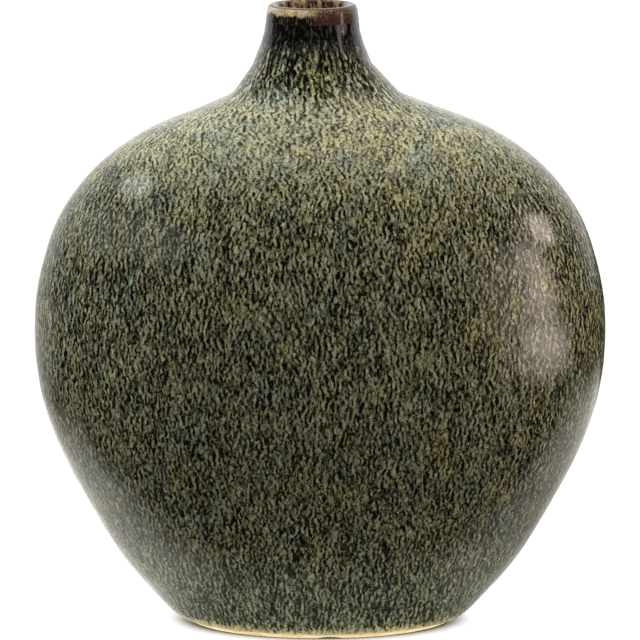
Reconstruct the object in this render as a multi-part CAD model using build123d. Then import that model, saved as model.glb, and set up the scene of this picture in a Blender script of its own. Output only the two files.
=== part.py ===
from build123d import *

import math
import os

# A flattened bottle vase: one slip-cast stoneware body under three fired-on glaze coats.
# Millimetres, +Z up. The origin is the middle of the foot, on the plane that the vase stands on.
# X runs across the broad faces and -Y is the front. Outside sizes are measured over the glaze.

# Overall form
overall_height = 300.0
body_width = 272.0
body_depth = 136.0
belly_height = 148.0
foot_width = 127.0
foot_depth = 64.0

# Neck, measured down from the top of the lip, and its lean away from the body's middle
neck_height = 28.0
neck_root_diameter = 55.6
neck_offset = -3.6
lean_blend_height = 27.0

# Lip
lip_band_height = 7.6
lip_band_diameter = 43.9
lip_diameter = 41.6
lip_wall = 4.8
throat_taper_height = 2.0
lip_round_share = 0.46

# Clay
clay_wall = 4.5
floor_thickness = 7.0
inner_corner_round = 8.0
foot_ring_width = 9.0
foot_recess_depth = 2.5
recess_draft = 1.5
notch_width = 12.0
notch_height = 1.3
notch_offset = 4.5

# Glaze coats
outer_glaze_thickness = 0.7
lip_glaze_thickness = 0.5
liner_glaze_thickness = 0.4
bare_band_height = 2.6

# Working values for cuts and for the curves
cut_overrun = 2.0
least_section_gap = 1.2
slope_step = 0.05
offset_halvings = 40

# The outlines: shares of the rise from the foot to the belly, then from the belly to the neck's root.
# Each pair is a share of the height and a share of the change in half width or half depth.
flank_shares = [(0.02, 0.08), (0.068, 0.178), (0.2, 0.411), (0.405, 0.662), (0.676, 0.913)]
front_shoulder_shares = [
    (0.26, 0.049),
    (0.5, 0.177),
    (0.66, 0.354),
    (0.766, 0.549),
    (0.79, 0.612),
    (0.823, 0.725),
    (0.855, 0.824),
    (0.887, 0.893),
    (0.935, 0.956),
]
side_shoulder_shares = [
    (0.26, 0.037),
    (0.5, 0.2),
    (0.66, 0.423),
    (0.766, 0.62),
    (0.823, 0.74),
    (0.879, 0.846),
    (0.935, 0.93),
]
# How steeply the outline flares out of the foot, as a share of the mean slope up to the belly
foot_flare_share = 4.9

# Where the sections of the lofted forms lie
flank_section_shares = [0.02, 0.045, 0.085, 0.15, 0.25, 0.38, 0.53, 0.7, 0.86]
shoulder_section_shares = [0.0, 0.14, 0.27, 0.4, 0.52, 0.62, 0.7, 0.766, 0.81, 0.85, 0.89, 0.935]
neck_section_shares = [0.0, 0.45]

# Heights and half sizes that follow
root_height = overall_height - neck_height
band_height = overall_height - lip_band_height
lean_start = root_height - lean_blend_height
floor_height = foot_recess_depth + floor_thickness
lip_radius = lip_diameter / 2
mouth_radius = lip_radius - lip_wall
cavity_inset = outer_glaze_thickness + clay_wall


def eased(share):
    """A share held between 0 and 1, eased at both ends."""
    share = min(max(share, 0.0), 1.0)
    return share * share * (3 - 2 * share)


def smooth_curve(points, low_slope, high_slope):
    """A function of height through (height, size) points, straight beyond both ends."""
    steps = [after[0] - before[0] for before, after in zip(points, points[1:])]
    rises = [(after[1] - before[1]) / step for before, after, step in zip(points, points[1:], steps)]
    slopes = [low_slope]
    for i in range(1, len(steps)):
        slopes.append((steps[i] * rises[i - 1] + steps[i - 1] * rises[i]) / (steps[i] + steps[i - 1]))
    slopes.append(high_slope)

    def size_at(height):
        if height <= points[0][0]:
            return points[0][1] + low_slope * (height - points[0][0])
        if height >= points[-1][0]:
            return points[-1][1] + high_slope * (height - points[-1][0])
        span = max(i for i in range(len(steps)) if points[i][0] <= height)
        share = (height - points[span][0]) / steps[span]
        ease = eased(share)
        straight = points[span][1] * (1 - ease) + points[span + 1][1] * ease
        leave = share * (1 - share) ** 2 * steps[span] * slopes[span]
        arrive = share**2 * (1 - share) * steps[span] * slopes[span + 1]
        return straight + leave - arrive

    return size_at


def outline(foot_size, belly_size, shoulder_shares):
    """Half the width or depth over height, from the foot to the lower edge of the lip band."""
    foot_half = foot_size / 2
    belly_half = belly_size / 2
    root_half = neck_root_diameter / 2
    flank_rise = belly_half - foot_half
    shoulder_fall = belly_half - root_half
    points = [(0.0, foot_half)]
    for height_share, size_share in flank_shares:
        points.append((belly_height * height_share, foot_half + flank_rise * size_share))
    points.append((belly_height, belly_half))
    for height_share, size_share in shoulder_shares:
        height = belly_height + (root_height - belly_height) * height_share
        points.append((height, belly_half - shoulder_fall * size_share))
    points.append((root_height, root_half))
    points.append((band_height, lip_band_diameter / 2))
    lip_taper = (lip_diameter - lip_band_diameter) / 2 / lip_band_height
    return smooth_curve(points, foot_flare_share * flank_rise / belly_height, lip_taper)


half_width = outline(foot_width, body_width, front_shoulder_shares)
half_depth = outline(foot_depth, body_depth, side_shoulder_shares)


def lean(height):
    """How far the middle of a section lies from the body's middle."""
    return neck_offset * eased((height - lean_start) / lean_blend_height)


def inset_size(size_at, height, inset):
    """The half size at a height of the curve that runs inside another at a constant distance."""

    def slope_sine(place):
        slope = (size_at(place + slope_step) - size_at(place - slope_step)) / (2 * slope_step)
        return slope / math.hypot(1, slope)

    low, high = height - inset, height + inset
    for _ in range(offset_halvings):
        middle = (low + high) / 2
        if middle + inset * slope_sine(middle) < height:
            low = middle
        else:
            high = middle
    sine = slope_sine(middle)
    return size_at(middle) - inset * math.sqrt(1 - sine * sine)


def section_heights(bottom, top):
    """Heights of the loft sections from bottom to top, close together where the form turns."""
    heights = [belly_height * share for share in flank_section_shares]
    heights += [belly_height + (root_height - belly_height) * share for share in shoulder_section_shares]
    heights += [root_height + (band_height - root_height) * share for share in neck_section_shares]
    inner = [height for height in heights if bottom + least_section_gap < height < top - least_section_gap]
    return [bottom] + inner + [top]


def vessel_form(inset, bottom, top):
    """The solid inside the outline drawn in by an inset, between two heights."""
    sections = []
    for height in section_heights(bottom, top):
        across = inset_size(half_width, height, inset)
        deep = inset_size(half_depth, height, inset)
        sections.append(Pos(lean(height), 0, height) * Ellipse(across, deep))
    return loft(sections)


def rounded_floor(form, radius):
    """A form with its lowest edge rounded."""
    return fillet(form.edges().group_by(Axis.Z)[0], radius)


def lip_face(coat):
    """Half of the lip's section in the XZ plane, grown by a coat of glaze outside, on top and inside."""
    low_outer = inset_size(half_width, band_height, outer_glaze_thickness) + coat
    low_inner = inset_size(half_width, band_height, cavity_inset) - coat
    top_outer = lip_radius - lip_glaze_thickness + coat
    top_inner = mouth_radius + lip_glaze_thickness - coat
    top = overall_height - lip_glaze_thickness + coat
    section = Polyline(
        (low_outer, band_height),
        (top_outer, top),
        (top_inner, top),
        (top_inner, band_height + throat_taper_height),
        (low_inner, band_height),
        close=True,
    )
    face = make_face(Plane.XZ * section)
    corners = face.vertices().group_by(Axis.Z)[-1]
    return fillet(corners, lip_round_share * (top_outer - top_inner))


def turned(face):
    """A section turned about the neck's axis."""
    neck_axis = Axis((neck_offset, 0, 0), (0, 0, 1))
    return revolve(Pos(neck_offset, 0, 0) * face, neck_axis)


def foot_recess():
    """The hollow under the foot, narrower at its roof than at the ring's edge."""
    mouth_across = inset_size(half_width, 0.0, outer_glaze_thickness) - foot_ring_width
    mouth_deep = inset_size(half_depth, 0.0, outer_glaze_thickness) - foot_ring_width
    sections = []
    for height in (-cut_overrun, foot_recess_depth):
        drawn_in = recess_draft * height / foot_recess_depth
        sections.append(Pos(0, 0, height) * Ellipse(mouth_across - drawn_in, mouth_deep - drawn_in))
    return loft(sections)


def drain_notch():
    """The shallow arch through the front of the foot ring."""
    radius = (notch_width**2 / 4 + notch_height**2) / (2 * notch_height)
    length = foot_ring_width + recess_draft + 2 * cut_overrun
    front = -inset_size(half_depth, 0.0, outer_glaze_thickness) - cut_overrun
    notch = Pos(0, front + length / 2, 0) * Rot(90, 0, 0) * Cylinder(radius, length)
    return Pos(notch_offset, 0, notch_height - radius) * notch


# Forms shared by the pieces
clay_form = vessel_form(outer_glaze_thickness, 0.0, band_height)
cavity_form = rounded_floor(vessel_form(cavity_inset, floor_height, band_height), inner_corner_round)

# Stoneware body: the cast shell with its lip, foot ring and notch
stoneware_body = clay_form - cavity_form + turned(lip_face(0.0)) - foot_recess() - drain_notch()

# Outer glaze: the mottled coat from the bare foot band up to the lip band
outer_glaze = vessel_form(0.0, bare_band_height, band_height) - clay_form

# Lip glaze: the dark band over the rim and a little way into the mouth
lip_glaze = turned(lip_face(lip_glaze_thickness) - lip_face(0.0))

# Liner glaze: the coat inside, from the floor up to the lip glaze
liner_inset = cavity_inset + liner_glaze_thickness
liner_core = vessel_form(liner_inset, floor_height + liner_glaze_thickness, band_height)
liner_glaze = cavity_form - rounded_floor(liner_core, inner_corner_round - liner_glaze_thickness)

os.makedirs("parts", exist_ok=True)
export_step(stoneware_body, "parts/stoneware_body.step")
export_step(outer_glaze, "parts/outer_glaze.step")
export_step(lip_glaze, "parts/lip_glaze.step")
export_step(liner_glaze, "parts/liner_glaze.step")
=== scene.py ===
"""Bottle vase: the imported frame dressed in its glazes, on a pale floor in soft studio light."""
import math

import bpy
import numpy as np
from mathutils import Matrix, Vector, noise
from mathutils.bvhtree import BVHTree


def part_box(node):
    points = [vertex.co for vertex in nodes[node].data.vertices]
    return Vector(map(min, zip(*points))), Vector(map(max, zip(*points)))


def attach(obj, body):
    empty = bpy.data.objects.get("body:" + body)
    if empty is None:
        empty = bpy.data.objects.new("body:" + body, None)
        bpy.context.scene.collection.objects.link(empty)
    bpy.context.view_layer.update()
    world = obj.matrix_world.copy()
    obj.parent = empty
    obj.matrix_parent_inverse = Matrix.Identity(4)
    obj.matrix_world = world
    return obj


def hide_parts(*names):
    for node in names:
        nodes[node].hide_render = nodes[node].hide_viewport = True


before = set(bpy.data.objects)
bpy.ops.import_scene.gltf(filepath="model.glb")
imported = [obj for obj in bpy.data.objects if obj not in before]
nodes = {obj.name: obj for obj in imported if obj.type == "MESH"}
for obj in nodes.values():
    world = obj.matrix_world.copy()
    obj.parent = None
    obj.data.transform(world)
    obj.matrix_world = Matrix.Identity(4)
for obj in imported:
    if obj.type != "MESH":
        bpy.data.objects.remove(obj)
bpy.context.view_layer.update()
scene = bpy.context.scene
MM = 0.001

# Places read from the frame
outer_low, outer_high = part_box("outer_glaze")
lip_low, lip_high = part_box("lip_glaze")
NECK_X = (lip_low[0] + lip_high[0]) / 2
GLAZE_LINE = outer_low[2]
LIP_BAND = outer_high[2]
TOP = lip_high[2]

# Camera, fitted to the outline in the photograph
CAMERA_PLACE = (0.0, -1.4, 0.4719)
CAMERA_PITCH = math.radians(12.99)
CAMERA_LENS_MM = 169.6
SENSOR_MM = 36.0

# Half width and half depth of the foot where it meets the floor
FOOT_HALF = (62.8 * MM, 31.3 * MM)

# Mesh of the outer coat
COLUMNS = 440
ROW_STEP = 1.75 * MM
INNER_ROWS = 18
COAT = 0.6 * MM

# Relief of the outer coat: broad swells, and a lower edge that is rounded and a little uneven
RELIEF_DEPTH = 0.22 * MM
SWELL_ACROSS = 5.0 * MM
SWELL_TALL = 11.0 * MM
FINE_SHARE = 0.35
EDGE_BEAD = 0.6 * MM
EDGE_WAVE = 0.45 * MM
EDGE_WAVE_LENGTH = 9.0 * MM
EDGE_WAVE_REACH = 12.0 * MM

# How far below the lip the outer coat runs straight into it
NECK_STRAIGHT = 9.0 * MM

# Heights where the glaze's marks grow longer or larger, and by how much
NECK_RUNS = (0.268, 0.276)
NECK_RUN_SHARE = 0.6
NECK_GRAINS = (0.222, 0.256)
NECK_GRAIN_SHARE = 0.82
FOOT_RUNS = (0.052, 0.036)
FOOT_RUN_SHARE = 0.68

# The outer coat's map: strips for the back, the front and the hidden faces, and the margin at their ends
BACK_STRIP = (0.484, 0.958)
FRONT_STRIP = (0.004, 0.478)
HIDDEN_STRIP = (0.966, 0.996)
MAP_MARGIN = 0.004

# The glaze's marks: sizes of the noises, across and along the way that the glaze ran
WANDER_SIZE = 3.1 * MM
WANDER_AMOUNT = 2.2 * MM
FURROW_SIZE = 2.7 * MM
LINE_SIZE = (2.5 * MM, 4.7 * MM)
LINE_WIDTH = 0.10
GRAIN_SIZE = (1.1 * MM, 2.3 * MM)
SPECK_SIZE = (0.45 * MM, 0.7 * MM)
PATCH_SIZE = (7 * MM, 12 * MM)
CLUMP_SIZE = (3.5 * MM, 4.5 * MM)
# Size of the painted glints on the grains
PAINTED_GLINT_SIZE = (0.55 * MM, 0.8 * MM)
DRIFT_SIZE = (16 * MM, 22 * MM)
OCHRE_SIZE = (4 * MM, 5 * MM)
STREAK_SIZE = (0.9 * MM, 4.5 * MM)

# Heights between which the glaze's colour and cover change, and the levels where dark turns to pale
SHOULDER_HEIGHTS = (0.20, 0.245)
NECK_HEIGHTS = (0.252, 0.270)
EDGE_HEIGHTS = (GLAZE_LINE + 5 * MM, GLAZE_LINE + 1 * MM)
# Heights over which the shoulder gets painted top light
PAINTED_TOP_LIGHT_HEIGHTS = (0.23, 0.275)
# Heights of the painted floor light and reflection, a lighter bluish band low on the body
PAINTED_FLOOR_REFLECTION_HEIGHTS = (0.050, 0.034)
CREAM_HEIGHTS = (GLAZE_LINE + 7 * MM, GLAZE_LINE + 2 * MM)
THIN_HEIGHTS = (0.2935, 0.3055)
# Heights of the painted window reflection below the lip
PAINTED_WINDOW_REFLECTION_HEIGHTS = (0.2785, 0.2815)
COVER_LEVELS = (0.480, 0.640)

# How strongly each glaze and the clay mirror
GLAZE_IOR = 1.5
OUTER_GLAZE_IOR = 1.52

# Mesh of the lip coat
LIP_COLUMNS = 220
LIP_COAT = 0.45 * MM
LIP_UNEVEN = 0.16 * MM
MOUTH = 16.0 * MM

# Where a painted pale reflection of a window runs down the neck from the lip, as an angle to the right of
# the front
PAINTED_WINDOW_REFLECTION_ANGLE = 0.59
PAINTED_WINDOW_REFLECTION_HALF_ANGLES = (0.055, 0.02)

# Floor: how far it reaches, the reach of the vase's shade on it, and its share of plain white
FLOOR_REACH = 3.0
SHADE_REACH = 14 * MM
WHITE_SHARE = 0.88


def rgb(red, green, blue):
    """A colour written as screen values from 0 to 255, as linear light."""
    def linear(value):
        value = value / 255
        return value / 12.92 if value <= 0.04045 else ((value + 0.055) / 1.055) ** 2.4
    return (linear(red), linear(green), linear(blue), 1.0)


# Node helpers

def add(tree, kind, settings=None, **inputs):
    """Adds a node. An input is a socket to link or a value, by name with _ for a space or as i0, i1."""
    made = tree.nodes.new(kind)
    for name, value in (settings or {}).items():
        setattr(made, name, value)
    for name, value in inputs.items():
        key = int(name[1:]) if name[0] == "i" and name[1:].isdigit() else name.replace("_", " ")
        fill(tree, made.inputs[key], value)
    return made


def fill(tree, socket, value):
    if isinstance(value, bpy.types.NodeSocket):
        tree.links.new(value, socket)
    else:
        socket.default_value = value


def math_node(tree, operation, first, second=0.0):
    return add(tree, "ShaderNodeMath", {"operation": operation}, i0=first, i1=second).outputs[0]


def vector_node(tree, operation, first, second):
    made = add(tree, "ShaderNodeVectorMath", {"operation": operation}, i0=first, i1=second)
    return made.outputs["Value" if operation == "LENGTH" else "Vector"]


def weighted(tree, *parts):
    """The sum of values, each times its share."""
    total = None
    for value, share in parts:
        scaled = math_node(tree, "MULTIPLY", value, share)
        total = scaled if total is None else math_node(tree, "ADD", total, scaled)
    return total


def eased(tree, value, low, high, to_low=0.0, to_high=1.0):
    """Maps a value from low..high to to_low..to_high, eased and held at both ends."""
    made = add(tree, "ShaderNodeMapRange", {"interpolation_type": "SMOOTHSTEP"},
               Value=value, From_Min=low, From_Max=high, To_Min=to_low, To_Max=to_high)
    return made.outputs["Result"]


def outside(tree, value, width):
    """1 where noise lies well off its middle, falling to 0 along the thin lines where it crosses it."""
    off = math_node(tree, "ABSOLUTE", math_node(tree, "SUBTRACT", value, 0.5))
    return eased(tree, off, 0.0, width)


def spread(tree, value, low, high):
    """Maps a value from low..high to 0..1 in a straight line, held at both ends."""
    return add(tree, "ShaderNodeMapRange", None, Value=value, From_Min=low, From_Max=high).outputs["Result"]


def between(tree, share, first, second):
    """The first value where the share is 0, the second where it is 1."""
    return add(tree, "ShaderNodeMapRange", None, Value=share, To_Min=first, To_Max=second).outputs["Result"]


def mix_colours(tree, share, first, second, blend="MIX"):
    made = add(tree, "ShaderNodeMix", {"data_type": "RGBA", "blend_type": blend})
    fill(tree, made.inputs[0], share)
    fill(tree, made.inputs[6], first)
    fill(tree, made.inputs[7], second)
    return made.outputs[2]


def colour_ramp(tree, value, stops):
    made = add(tree, "ShaderNodeValToRGB", None, Fac=value)
    ramp = made.color_ramp
    while len(ramp.elements) < len(stops):
        ramp.elements.new(0.5)
    for element, (place, colour) in zip(ramp.elements, stops):
        element.position = place
        element.color = colour
    return made.outputs[0]


def noise_of(tree, place, across, tall, detail=1.0, roughness=0.5, output="Fac"):
    """Noise whose grains are about across metres wide and tall metres high."""
    scaled = vector_node(tree, "MULTIPLY", place, (1 / across, 1 / across, 1 / tall))
    made = add(tree, "ShaderNodeTexNoise", None, Vector=scaled, Scale=1.0,
               Detail=detail, Roughness=roughness)
    return made.outputs[output]


def furrows_of(tree, place, across, tall, direction):
    """Evenly spaced wandering furrows that run across the given direction."""
    scaled = vector_node(tree, "MULTIPLY", place, (1 / across, 1 / across, 1 / tall))
    made = add(tree, "ShaderNodeTexGabor", {"gabor_type": "3D"}, Vector=scaled, Scale=1.0,
               Frequency=1.0, Anisotropy=1.0)
    socket = [s for s in made.inputs if s.name.startswith("Orientation") and s.type == "VECTOR"][0]
    fill(tree, socket, direction)
    return made.outputs["Value"]


def bent_by(tree, place, across, tall, amount):
    """A position moved to and fro by slow noise, so that the marks laid on it wander."""
    bend = noise_of(tree, place, across, tall, output="Color")
    bend = vector_node(tree, "SUBTRACT", bend, (0.5, 0.5, 0.5))
    bend = vector_node(tree, "MULTIPLY", bend, (amount, amount, amount))
    return vector_node(tree, "ADD", place, bend)


def attribute(tree, name):
    return add(tree, "ShaderNodeAttribute", {"attribute_name": name}).outputs["Vector"]


def parts_of(tree, vector):
    return add(tree, "ShaderNodeSeparateXYZ", None, Vector=vector).outputs


def new_material(name, ior=GLAZE_IOR):
    """An empty material with its tree, its shader and the position on the piece."""
    material = bpy.data.materials.new(name)
    material.use_nodes = True
    tree = material.node_tree
    tree.nodes.clear()
    shader = add(tree, "ShaderNodeBsdfPrincipled", None, IOR=ior)
    add(tree, "ShaderNodeOutputMaterial", None, Surface=shader.outputs[0])
    place = add(tree, "ShaderNodeTexCoord").outputs["Object"]
    return material, tree, shader, place


def finish_material(tree, shader, colour, height, strength, distance):
    fill(tree, shader.inputs["Base Color"], colour)
    bump = add(tree, "ShaderNodeBump", None, Height=height, Strength=strength, Distance=distance)
    fill(tree, shader.inputs["Normal"], bump.outputs[0])


# Materials

def outer_glaze_material():
    """Pale olive grains parted by dark furrows that run down the vase, with slow drifts of colour."""
    material, tree, shader, place = new_material("mottled_outer_glaze", OUTER_GLAZE_IOR)
    flow, across = attribute(tree, "flow"), attribute(tree, "across")
    x, y, height = parts_of(tree, place)
    bent = bent_by(tree, flow, WANDER_SIZE, WANDER_SIZE, WANDER_AMOUNT)
    furrows = furrows_of(tree, bent, FURROW_SIZE, FURROW_SIZE, across)
    lines = outside(tree, noise_of(tree, bent, *LINE_SIZE), LINE_WIDTH)
    grain = noise_of(tree, bent, *GRAIN_SIZE, 2.0, 0.55)
    specks = noise_of(tree, flow, *SPECK_SIZE)
    patch = noise_of(tree, flow, *PATCH_SIZE, 2.0)
    pattern = weighted(tree, (lines, 0.05), (furrows, 0.38), (grain, 0.34), (specks, 0.22), (patch, 0.13))
    # More pale glaze on the shoulder and along the foot's edge, less on the neck
    shoulder = eased(tree, height, *SHOULDER_HEIGHTS, 0.0, 0.042)
    neck = eased(tree, height, *NECK_HEIGHTS, 0.0, -0.072)
    edge = eased(tree, height, *EDGE_HEIGHTS, 0.0, 0.10)
    shift = math_node(tree, "ADD", shoulder, math_node(tree, "ADD", neck, edge))
    cover = spread(tree, math_node(tree, "ADD", pattern, shift), *COVER_LEVELS)
    base = colour_ramp(tree, cover, [
        (0.0, (0.002, 0.0019, 0.0013, 1)),
        (0.2, (0.007, 0.0068, 0.0042, 1)),
        (0.4, (0.048, 0.047, 0.026, 1)),
        (0.6, (0.155, 0.152, 0.086, 1)),
        (0.82, (0.25, 0.246, 0.142, 1)),
        (1.0, (0.42, 0.415, 0.255, 1)),
    ])
    # Clumps of lighter and darker grains, with painted glints as tiny lighter flecks, then slow drifts of
    # colour: yellow, blue grey, a few ochre spots
    clumps = noise_of(tree, flow, *CLUMP_SIZE, 2.0)
    painted_glints = noise_of(tree, bent, *PAINTED_GLINT_SIZE)
    lift = eased(tree, clumps, 0.30, 0.70, 0.78, 1.22)
    lift = math_node(tree, "MULTIPLY", lift, eased(tree, painted_glints, 0.36, 0.70, 0.80, 1.45))
    lift = add(tree, "ShaderNodeCombineXYZ", None, X=lift, Y=lift, Z=lift).outputs[0]
    base = vector_node(tree, "MULTIPLY", base, lift)
    # Painted top light: the shoulder made about 1.4 times as light, with a ragged lower edge
    high = eased(tree, weighted(tree, (height, 1.0), (patch, 40 * MM)), *PAINTED_TOP_LIGHT_HEIGHTS)
    base = mix_colours(tree, high, base, mix_colours(tree, 1.0, base, (1.42, 1.41, 1.43, 1), "MULTIPLY"))
    drift = noise_of(tree, flow, *DRIFT_SIZE, 3.0, 0.6)
    yellow = eased(tree, drift, 0.50, 0.68)
    blue = eased(tree, drift, 0.48, 0.34)
    # Painted light and reflection from the floor: lighter and bluish below about 50 mm
    low = eased(tree, height, *PAINTED_FLOOR_REFLECTION_HEIGHTS)
    cream = eased(tree, height, *CREAM_HEIGHTS)
    ochre = eased(tree, noise_of(tree, flow, *OCHRE_SIZE), 0.66, 0.76)
    tint = mix_colours(tree, yellow, (1, 1, 1, 1), (1.11, 1.06, 0.86, 1))
    tint = mix_colours(tree, blue, tint, (0.84, 0.96, 1.10, 1))
    tint = mix_colours(tree, low, tint, (1.12, 1.22, 1.24, 1))
    tint = mix_colours(tree, cream, tint, (1.75, 1.62, 1.32, 1))
    tint = mix_colours(tree, ochre, tint, (1.22, 1.02, 0.86, 1))
    base = mix_colours(tree, 1.0, base, tint, "MULTIPLY")
    # Under the lip the glaze ran thin: long dark streaks, grey lilac in places; and one narrow pale lilac
    # streak, a painted reflection of a window
    long_marks = noise_of(tree, bent, *STREAK_SIZE, 2.0)
    streaks = colour_ramp(tree, long_marks, [
        (0.46, (0.002, 0.0018, 0.0014, 1)),
        (0.54, (0.010, 0.0095, 0.007, 1)),
        (0.62, (0.045, 0.043, 0.034, 1)),
        (0.72, (0.14, 0.135, 0.12, 1)),
    ])
    ragged = weighted(tree, (height, 1.0), (long_marks, 30 * MM), (patch, 10 * MM))
    thin = eased(tree, ragged, *THIN_HEIGHTS)
    base = mix_colours(tree, thin, base, streaks)
    # Painted reflection of a window: a narrow pale lilac streak down the neck from the lip
    forward = math_node(tree, "MULTIPLY", y, -1.0)
    around = math_node(tree, "ARCTAN2", math_node(tree, "SUBTRACT", x, NECK_X), forward)
    run = math_node(tree, "ABSOLUTE", math_node(tree, "SUBTRACT", around, PAINTED_WINDOW_REFLECTION_ANGLE))
    run = math_node(tree, "MULTIPLY", eased(tree, run, *PAINTED_WINDOW_REFLECTION_HALF_ANGLES), eased(tree, height, *PAINTED_WINDOW_REFLECTION_HEIGHTS))
    base = mix_colours(tree, math_node(tree, "MULTIPLY", run, 0.75), base, rgb(126, 116, 122))
    fill(tree, shader.inputs["Roughness"], eased(tree, cover, 0.0, 1.0, 0.12, 0.08))
    finish_material(tree, shader, base, cover, 0.17, 0.25 * MM)
    return material


def lip_glaze_material():
    """Iron brown on the right, breaking to speckled tan on the left, with a painted dark reflection along
    the top of the rim.
    """
    material, tree, shader, place = new_material("iron_brown_lip_glaze")
    x, y, z = parts_of(tree, place)
    blotch = noise_of(tree, place, 3.0 * MM, 2.4 * MM, 3.0, 0.6)
    specks = noise_of(tree, place, 0.55 * MM, 0.55 * MM, 1.0)
    ragged = weighted(tree, (blotch, 5 * MM), (specks, 3 * MM))
    left = eased(tree, math_node(tree, "ADD", x, ragged), NECK_X + 8.5 * MM, NECK_X + 1 * MM)
    # Brown, with pale specks towards the top
    rise = eased(tree, z, TOP - 5.5 * MM, TOP - 1.5 * MM, -0.10, 0.02)
    brown = colour_ramp(tree, math_node(tree, "ADD", specks, rise), [
        (0.48, rgb(74, 47, 47)),
        (0.56, rgb(90, 60, 54)),
        (0.64, rgb(180, 156, 116)),
    ])
    # Tan with dark specks, over dark streaks lower down
    tan = colour_ramp(tree, weighted(tree, (blotch, 0.5), (specks, 0.5)), [
        (0.34, rgb(110, 86, 56)),
        (0.42, rgb(200, 170, 120)),
        (0.54, rgb(242, 220, 176)),
    ])
    streaks = colour_ramp(tree, noise_of(tree, place, 0.9 * MM, 5 * MM, 2.0), [
        (0.44, rgb(12, 10, 8)),
        (0.56, rgb(34, 29, 22)),
        (0.68, rgb(96, 84, 62)),
    ])
    high = eased(tree, math_node(tree, "ADD", z, ragged), TOP - 0.2 * MM, TOP + 1.4 * MM)
    base = mix_colours(tree, left, brown, mix_colours(tree, high, streaks, tan))
    # A painted dark reflection along the top of the rim, for the dark room in front that it mirrors
    edge = eased(tree, z, TOP - 0.9 * MM, TOP - 0.5 * MM)
    base = mix_colours(tree, math_node(tree, "MULTIPLY", edge, 0.88), base, rgb(30, 27, 30))
    # Inside the mouth it is tan with dark runs, like the liner
    off = math_node(tree, "SUBTRACT", x, NECK_X)
    squares = [math_node(tree, "MULTIPLY", side, side) for side in (off, y)]
    radius = math_node(tree, "SQRT", math_node(tree, "ADD", *squares))
    inside = eased(tree, radius, MOUTH + 1.6 * MM, MOUTH + 0.7 * MM)
    base = mix_colours(tree, inside, base, dark_runs(tree, place))
    fill(tree, shader.inputs["Roughness"], eased(tree, blotch, 0.3, 0.7, 0.14, 0.08))
    finish_material(tree, shader, base, blotch, 0.2, 0.3 * MM)
    return material


def dark_runs(tree, place):
    """Tan glaze with dark brown runs, for the inside."""
    return colour_ramp(tree, noise_of(tree, place, 2.6 * MM, 6 * MM, 3.0, 0.6), [
        (0.42, rgb(38, 24, 18)),
        (0.48, rgb(92, 62, 38)),
        (0.53, rgb(180, 146, 98)),
        (0.64, rgb(214, 186, 136)),
    ])


def liner_glaze_material():
    material, tree, shader, place = new_material("tan_liner_glaze")
    ripple = noise_of(tree, place, 3 * MM, 8 * MM, 2.0)
    fill(tree, shader.inputs["Roughness"], eased(tree, ripple, 0.3, 0.7, 0.22, 0.12))
    finish_material(tree, shader, dark_runs(tree, place), ripple, 0.3, 0.4 * MM)
    return material


def clay_material():
    """Bare buff stoneware with fine grit."""
    material, tree, shader, place = new_material("bare_stoneware")
    grit = noise_of(tree, place, 0.7 * MM, 0.7 * MM, 4.0, 0.6)
    stain = noise_of(tree, place, 8 * MM, 3 * MM, 2.0)
    tone = weighted(tree, (grit, 0.5), (stain, 0.5))
    base = colour_ramp(tree, tone, [
        (0.36, rgb(212, 176, 122)),
        (0.50, rgb(244, 222, 176)),
        (0.64, rgb(250, 238, 206)),
    ])
    fill(tree, shader.inputs["Roughness"], eased(tree, grit, 0.3, 0.7, 0.86, 0.68))
    # Darker and more orange towards the bottom of the foot, below 1.6 mm
    lowest_foot_band = eased(tree, parts_of(tree, place)["Z"], 1.6 * MM, 0.4 * MM)
    base = mix_colours(tree, lowest_foot_band, base, mix_colours(tree, 1.0, base, (0.90, 0.68, 0.46, 1), "MULTIPLY"))
    finish_material(tree, shader, base, grit, 0.4, 0.2 * MM)
    return material


# Shapes

def solid_tree(node):
    """A search tree over a CAD solid's faces."""
    mesh = nodes[node].data
    corners = [vertex.co.copy() for vertex in mesh.vertices]
    return BVHTree.FromPolygons(corners, [tuple(face.vertices) for face in mesh.polygons])


def read_outline(node, heights):
    """Half width, half depth and middle of a CAD solid's outside at each height."""
    tree = solid_tree(node)
    far = 1.0

    def meets(start, direction):
        return tree.ray_cast(Vector(start), Vector(direction))[0]

    found = []
    for height in heights:
        right = meets((far, 0, height), (-1, 0, 0))
        left = meets((-far, 0, height), (1, 0, 0))
        middle = (right.x + left.x) / 2
        front = meets((middle, -far, height), (0, 1, 0))
        back = meets((middle, far, height), (0, -1, 0))
        found.append(((right.x - left.x) / 2, (back.y - front.y) / 2, middle))
    return np.array(found)


def smoothed(values, width):
    """Values smoothed along their first axis by a bell of that width, with the ends kept."""
    reach = int(3 * width)
    bell = np.exp(-0.5 * (np.arange(-reach, reach + 1) / width) ** 2)
    bell /= bell.sum()
    before = 2 * values[:1] - values[reach:0:-1]
    after = 2 * values[-1:] - values[-2:-reach - 2:-1]
    padded = np.concatenate([before, values, after])
    return np.stack([np.convolve(padded[:, i], bell, "valid") for i in range(values.shape[1])], 1)


def length_along(outline, heights):
    """How far each height lies along the outline, for the mean of width and depth."""
    sizes = outline[:, :2].mean(1)
    return np.concatenate([[0], np.cumsum(np.hypot(np.diff(sizes), np.diff(heights)))])


def held(heights, start, stop, share):
    """1 up to the start height and a share from the stop height on, eased between them."""
    way = np.clip((heights - start) / (stop - start), 0, 1)
    return 1 + (share - 1) * way * way * (3 - 2 * way)


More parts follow.
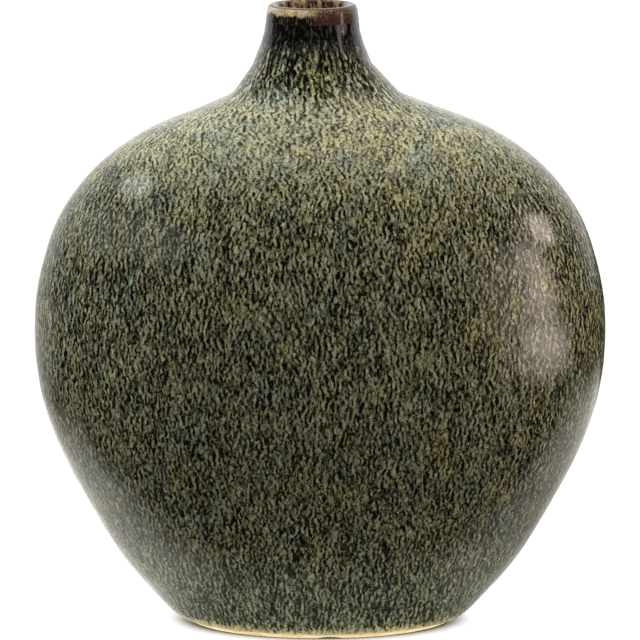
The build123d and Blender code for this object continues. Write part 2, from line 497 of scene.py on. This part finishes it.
def closed_sweep(name, rings, material, replaces):
    """A watertight coat from rings of points, each ring closed and the last joined to the first."""
    count, columns = rings.shape[:2]
    mesh = bpy.data.meshes.new(name)
    row, column = np.meshgrid(np.arange(count), np.arange(columns), indexing="ij")
    next_row, next_column = (row + 1) % count, (column + 1) % columns
    faces = np.stack([row * columns + column, row * columns + next_column,
                      next_row * columns + next_column, next_row * columns + column], -1).reshape(-1, 4)
    mesh.from_pydata(rings.reshape(-1, 3).tolist(), [], faces.tolist())
    mesh.polygons.foreach_set("use_smooth", np.ones(len(mesh.polygons), bool))
    mesh.set_sharp_from_angle(angle=math.radians(50))
    mesh.materials.append(material)
    piece = bpy.data.objects.new(name, mesh)
    scene.collection.objects.link(piece)
    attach(piece, "root")
    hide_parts(replaces)
    return piece


def store(mesh, name, values):
    """Keeps a vector for each vertex, for the material to read."""
    made = mesh.attributes.new(name, "FLOAT_VECTOR", "POINT")
    made.data.foreach_set("vector", np.ascontiguousarray(values, dtype=np.float32).ravel())


def lay_out(mesh, outer_rows, rows, columns):
    """A map of the coat: its front and back one above the other, and its hidden faces in a thin strip."""
    half = columns // 2
    row, first, corner = np.meshgrid(np.arange(rows), np.arange(columns), np.arange(4), indexing="ij")
    column = first + np.array([0, 1, 1, 0])[corner]
    level = row + np.array([0, 0, 1, 1])[corner]
    back, hidden = first < half, row >= outer_rows - 1
    across = np.where(hidden, column / columns, (column - half * ~back) / half)
    up = np.where(hidden, (level - outer_rows + 1) / (rows - outer_rows + 1), level / (outer_rows - 1))
    strips = zip(HIDDEN_STRIP, BACK_STRIP, FRONT_STRIP)
    low, high = (np.where(hidden, unseen, np.where(back, rear, fore)) for unseen, rear, fore in strips)
    places = np.stack([MAP_MARGIN + (1 - 2 * MAP_MARGIN) * across, low + (high - low) * up], -1)
    layer = mesh.uv_layers.new(name="OFBake")
    layer.uv.foreach_set("vector", places.astype(np.float32).ravel())


def swell(point):
    """Glaze thickness at a point, from 0 in the hollows to 1 on the swells."""
    x, y, z = point
    place = Vector((x / SWELL_ACROSS, y / SWELL_ACROSS, z / SWELL_TALL))
    rise = (1 - FINE_SHARE) * noise.noise(place) + FINE_SHARE * noise.noise(place * 2.3)
    return min(max(0.5 + rise / 1.2, 0.0), 1.0)


def outer_coat(material):
    """The mottled coat: an uneven outer skin, a rounded lower edge and a hidden inner skin."""
    low, high = GLAZE_LINE + 0.03 * MM, LIP_BAND - 0.03 * MM
    heights = np.linspace(low, high, int((high - low) / MM))
    outline = smoothed(read_outline("outer_glaze", heights), 1.6)
    lip_edge = read_outline("lip_glaze", [LIP_BAND + 0.1 * MM])[0] - LIP_UNEVEN / 2
    way = np.clip((heights - high) / NECK_STRAIGHT + 1, 0, 1)[:, None]
    start = outline[np.argmax(way[:, 0] > 0)]
    outline[:, :2] = np.where(way > 0, start[:2] + (lip_edge[:2] - start[:2]) * way, outline[:, :2])
    along = length_along(outline, heights)
    rows = np.interp(np.linspace(0, along[-1], int(along[-1] / ROW_STEP)), along, heights)
    sizes = np.stack([np.interp(rows, heights, outline[:, i]) for i in range(3)], 1)
    angles = np.linspace(0, 2 * math.pi, COLUMNS, endpoint=False)
    cos, sin = np.cos(angles), np.sin(angles)

    def ring(size, height, inward):
        normal = np.stack([cos / size[0], sin / size[1]], -1)
        normal /= np.linalg.norm(normal, axis=1)[:, None]
        flat = np.stack([size[2] + size[0] * cos, size[1] * sin], -1) - normal * np.reshape(inward, (-1, 1))
        return np.concatenate([flat, np.broadcast_to(height, (COLUMNS,))[:, None]], 1)

    wave_across, wave_deep = sizes[0][:2] / EDGE_WAVE_LENGTH
    wave = np.array([noise.noise(Vector((c * wave_across, s * wave_deep, 0))) for c, s in zip(cos, sin)])

    def lift(height):
        return EDGE_WAVE * (wave + 1) / 2 * max(0.0, 1 - (height - GLAZE_LINE) / EDGE_WAVE_REACH)

    rings = []
    for size, height in zip(sizes, rows):
        inward = np.array([RELIEF_DEPTH * (1 - swell(point)) for point in ring(size, height, 0.0)])
        below = max(0.0, 1 - (height - GLAZE_LINE) / (2 * EDGE_BEAD))
        inward += EDGE_BEAD * (1 - math.sqrt(1 - below ** 2))
        rings.append(ring(size, height + lift(height), inward))
    for i in np.linspace(len(rows) - 1, 0, INNER_ROWS).astype(int):
        rings.append(ring(sizes[i], rows[i] + lift(rows[i]), COAT + RELIEF_DEPTH))
    rings = np.array(rings)
    piece = closed_sweep("outer_glaze_coat", rings, material, "outer_glaze")
    lay_out(piece.data, len(rows), *rings.shape[:2])
    # The glaze ran down the surface, so its marks follow the way along the outline and not the height.
    grow = held(heights, *NECK_GRAINS, NECK_GRAIN_SHARE)
    stretch = held(heights, *NECK_RUNS, NECK_RUN_SHARE) * held(heights, *FOOT_RUNS, FOOT_RUN_SHARE)
    runs = np.concatenate([[0], np.cumsum(np.diff(along) * (grow * stretch)[1:])])
    share = np.interp(rings[..., 2], heights, grow)
    middle = np.interp(rings[..., 2], heights, outline[:, 2])
    run = np.interp(rings[..., 2], heights, runs)
    store(piece.data, "flow", np.stack([(rings[..., 0] - middle) * share, rings[..., 1] * share, run], -1))
    wide = np.interp(rings[..., 2], heights, outline[:, 0])
    deep = np.interp(rings[..., 2], heights, outline[:, 1])
    tangent = np.stack([-sin * wide, cos * deep, np.zeros_like(wide)], -1)
    store(piece.data, "across", tangent / np.linalg.norm(tangent, axis=-1, keepdims=True))
    return piece


def lip_coat(material):
    """The lip's coat, swept round the neck from the CAD lip's section, with a slightly uneven thickness."""
    tree = solid_tree("lip_glaze")
    beyond = (lip_high[0] - lip_low[0]) / 2 + 5 * MM

    def meets(radius, height, way):
        hit = tree.ray_cast(Vector((NECK_X + radius, 0, height)), Vector((way[0], 0, way[1])))[0]
        return hit.x - NECK_X, hit.z

    crown_height = TOP - 2.4 * MM
    low = LIP_BAND + 0.05 * MM
    walls = np.linspace(low, crown_height, 9)[:-1]
    outer = [meets(beyond, z, (-1, 0)) for z in walls]
    inner = [meets(0, z, (1, 0)) for z in walls[::-1]]
    middle = (meets(beyond, crown_height, (-1, 0))[0] + meets(0, crown_height, (1, 0))[0]) / 2
    crown = []
    for angle in np.linspace(0, math.pi, 25):
        way = (math.cos(angle), math.sin(angle))
        crown.append(meets(middle + 20 * MM * way[0], crown_height + 20 * MM * way[1], (-way[0], -way[1])))
    section = np.array(outer + crown + inner)
    ahead = np.gradient(section, axis=0)
    normal = np.stack([ahead[:, 1], -ahead[:, 0]], 1)
    normal /= np.linalg.norm(normal, axis=1)[:, None]
    hidden = (section - normal * LIP_COAT)[::-1]
    hidden[[0, -1], 1] = low
    angles = np.linspace(0, 2 * math.pi, LIP_COLUMNS, endpoint=False)
    rings = []
    for (radius, height), (out, up) in zip(section, normal):
        ring = []
        for angle in angles:
            place = Vector((math.cos(angle) * radius, math.sin(angle) * radius, height))
            thin = LIP_UNEVEN * (0.5 + 0.5 * noise.noise(place / (6 * MM)))
            thinned = radius - out * thin
            flat = NECK_X + math.cos(angle) * thinned, math.sin(angle) * thinned
            ring.append((*flat, height - up * thin))
        rings.append(ring)
    for radius, height in hidden:
        rings.append([(NECK_X + math.cos(a) * radius, math.sin(a) * radius, height) for a in angles])
    return closed_sweep("lip_glaze_coat", np.array(rings), material, "lip_glaze")


# Stage

def build_camera():
    data = bpy.data.cameras.new("camera")
    data.lens = CAMERA_LENS_MM
    data.sensor_width = SENSOR_MM
    data.sensor_fit = "HORIZONTAL"
    camera = bpy.data.objects.new("camera", data)
    camera.location = CAMERA_PLACE
    camera.rotation_euler = (math.pi / 2 - CAMERA_PITCH, 0, 0)
    scene.collection.objects.link(camera)
    scene.camera = camera


def area_light(name, place, aim, size, radiance, colour=(1, 1, 1), lights=True, mirrored=True):
    """A softbox of a given brightness, hidden from the camera. Some only light, some are only mirrored."""
    data = bpy.data.lights.new(name, "AREA")
    data.shape = "RECTANGLE"
    data.size, data.size_y = size
    data.energy = radiance * 4 * size[0] * size[1]
    data.color = colour
    light = bpy.data.objects.new(name, data)
    light.location = place
    light.rotation_euler = (Vector(aim) - Vector(place)).to_track_quat("-Z", "Y").to_euler()
    light.visible_camera = False
    light.visible_diffuse = lights
    light.visible_glossy = mirrored
    scene.collection.objects.link(light)


def build_floor():
    mesh = bpy.data.meshes.new("floor")
    far = FLOOR_REACH
    corners = [(-far, -far, 0), (far, -far, 0), (far, far, 0), (-far, far, 0)]
    mesh.from_pydata(corners, [], [(0, 1, 2, 3)])
    material = bpy.data.materials.new("pale_floor")
    material.use_nodes = True
    tree = material.node_tree
    tree.nodes.clear()
    place = add(tree, "ShaderNodeTexCoord").outputs["Object"]
    x, y, _ = parts_of(tree, place)
    path = add(tree, "ShaderNodeLightPath").outputs
    # What the glaze mirrors: a pale table top, brighter on the left, in shade before the foot
    wide = math_node(tree, "ABSOLUTE", x)
    front_edge = math_node(tree, "SUBTRACT", y, math_node(tree, "MULTIPLY", wide, 0.18))
    table = eased(tree, x, -0.10, 0.10, 1.75, 0.80)
    table = math_node(tree, "ADD", table, eased(tree, x, 0.15, 0.28, 0.0, 0.55))
    front_share = eased(tree, front_edge, -0.10, -0.06)
    back_share = eased(tree, y, 0.36, 0.32)
    right_share = eased(tree, x, 0.55, 0.30)
    left_share = eased(tree, x, -0.40, -0.17)
    shade_share = eased(tree, wide, 0.045, 0.105, 0.18, 1.0)
    for share in (front_share, back_share, right_share, left_share, shade_share):
        table = math_node(tree, "MULTIPLY", table, share)
    # The white sweep behind on the left, and the light that the floor throws back at the foot
    sweep = math_node(tree, "MULTIPLY", eased(tree, y, 0.05, 0.20), eased(tree, x, 0.0, -0.2, 0.0, 0.8))
    table = math_node(tree, "MAXIMUM", table, sweep)
    foot = vector_node(tree, "MULTIPLY", place, (1 / FOOT_HALF[0], 1 / FOOT_HALF[1], 0))
    foot = vector_node(tree, "LENGTH", foot, (0, 0, 0))
    bounce = eased(tree, vector_node(tree, "LENGTH", place, (0, 0, 0)), 0.20, 0.09, 0.03, 0.45)
    bounce = math_node(tree, "ADD", bounce, eased(tree, foot, 1.18, 1.05, 0.0, 1.2))
    mirrored = math_node(tree, "MAXIMUM", path["Is Glossy Ray"], path["Is Transmission Ray"])
    table = between(tree, mirrored, bounce, math_node(tree, "ADD", table, 0.03))
    table = add(tree, "ShaderNodeEmission", None, Color=(1, 0.985, 0.91, 1), Strength=table)
    # What the camera sees: white, with a painted contact shadow near the foot and painted black shade under
    # it
    lit = add(tree, "ShaderNodeBsdfDiffuse", None, Color=(0.8, 0.8, 0.8, 1))
    near = add(tree, "ShaderNodeAmbientOcclusion", {"samples": 8}, Distance=SHADE_REACH).outputs["AO"]
    open_floor = eased(tree, near, 0.08, 0.42, 0.0, 1.15)
    glow = math_node(tree, "MULTIPLY", open_floor, eased(tree, foot, 0.995, 1.02))
    glow = add(tree, "ShaderNodeEmission", None, Color=(1, 1, 1, 1), Strength=glow)
    white = add(tree, "ShaderNodeMixShader", None, i0=WHITE_SHARE, i1=lit.outputs[0], i2=glow.outputs[0])
    both = add(tree, "ShaderNodeMixShader", None, i0=path["Is Camera Ray"],
               i1=table.outputs[0], i2=white.outputs[0])
    add(tree, "ShaderNodeOutputMaterial", None, Surface=both.outputs[0])
    mesh.materials.append(material)
    floor = bpy.data.objects.new("floor", mesh)
    scene.collection.objects.link(floor)


def build_world():
    world = bpy.data.worlds.new("studio")
    world.use_nodes = True
    scene.world = world
    tree = world.node_tree
    tree.nodes.clear()
    x, y, z = parts_of(tree, add(tree, "ShaderNodeTexCoord").outputs["Generated"])
    behind = eased(tree, y, 0.25, 0.75)
    left = eased(tree, x, 0.3, -0.3)
    above = eased(tree, z, -0.10, 0.12)
    left_side = eased(tree, above, 0.0, 1.0, 0.6, 2.2)
    right_side = eased(tree, above, 0.0, 1.0, 0.12, 0.50)
    backdrop = between(tree, left, right_side, left_side)
    front = eased(tree, z, 0.45, 0.85, 0.025, 0.25)
    room = between(tree, behind, front, backdrop)
    tone = mix_colours(tree, eased(tree, z, -0.05, 0.2), (1, 0.82, 0.68, 1), (1, 1, 1, 1))
    around = add(tree, "ShaderNodeBackground", None, Color=tone, Strength=room)
    white = add(tree, "ShaderNodeBackground", None, Color=(1, 1, 1, 1), Strength=1.0)
    path = add(tree, "ShaderNodeLightPath").outputs
    mirrored = math_node(tree, "MAXIMUM", path["Is Glossy Ray"], path["Is Transmission Ray"])
    seen = math_node(tree, "MAXIMUM", path["Is Camera Ray"], math_node(tree, "MULTIPLY", mirrored, behind))
    both = add(tree, "ShaderNodeMixShader", None, i0=seen, i1=around.outputs[0], i2=white.outputs[0])
    add(tree, "ShaderNodeOutputWorld", None, Surface=both.outputs[0])


def build_lights():
    pink = (1, 0.84, 0.74)
    warm = (1, 0.93, 0.86)
    cool = (0.92, 1, 0.96)
    cream = (1, 0.97, 0.91)
    area_light("top_softbox", place=(-0.1, -0.1, 1.25), aim=(-0.1, -0.1, 0),
               size=(1.8, 1.5), radiance=0.6, colour=cream, lights=False)
    area_light("top_fill", place=(-0.15, -0.4, 1.15), aim=(0, 0, 0.2),
               size=(1.0, 0.8), radiance=1.45, mirrored=False)
    area_light("left_high_fill", place=(-0.85, -0.15, 0.75), aim=(-0.05, 0, 0.2),
               size=(0.5, 0.5), radiance=2.3, mirrored=False)
    area_light("right_high_fill", place=(0.85, -0.35, 0.6), aim=(0.05, 0, 0.18),
               size=(0.4, 0.4), radiance=3.4, colour=warm, mirrored=False)
    area_light("left_fill", place=(-1.0, -0.35, 0.12), aim=(0, 0, 0.1),
               size=(0.5, 0.4), radiance=3.1, mirrored=False)
    area_light("front_fill", place=(-0.35, -1.1, 0.02), aim=(0, 0, 0.08),
               size=(0.6, 0.3), radiance=0.8, mirrored=False)
    area_light("left_window", place=(-0.1615, -0.039, 0.2843), aim=(-0.085, -0.035, 0.22),
               size=(0.052, 0.024), radiance=3.4, colour=cool, lights=False)
    area_light("left_panel", place=(-0.23, -0.08, 0.25), aim=(-0.1, -0.03, 0.2),
               size=(0.3, 0.07), radiance=0.6, colour=cool, lights=False)
    area_light("right_glow", place=(0.435, -0.349, 0.17), aim=(0.09, -0.06, 0.16),
               size=(0.14, 0.22), radiance=0.9, colour=pink, lights=False)
    area_light("right_window", place=(0.51, -0.235, 0.203), aim=(0.1, -0.05, 0.16),
               size=(0.10, 0.21), radiance=5.2, colour=pink)
    area_light("right_window_low", place=(0.3715, -0.16, 0.077), aim=(0.1, -0.05, 0.13),
               size=(0.172, 0.058), radiance=4.0, colour=pink, lights=False)
    area_light("right_window_high", place=(0.29, -0.068, 0.2716), aim=(0.105, -0.045, 0.2),
               size=(0.062, 0.05), radiance=5.0, colour=pink)
    area_light("right_slit", place=(0.522, -0.096, 0.361), aim=(0, -0.02, 0.285),
               size=(0.045, 0.12), radiance=4.0, colour=pink, lights=False)


build_camera()
outer_coat(outer_glaze_material())
lip_coat(lip_glaze_material())
for node, material in (("liner_glaze", liner_glaze_material()), ("stoneware_body", clay_material())):
    nodes[node].data.materials.clear()
    nodes[node].data.materials.append(material)
build_floor()
build_world()
build_lights()
scene.view_settings.view_transform = "Standard"
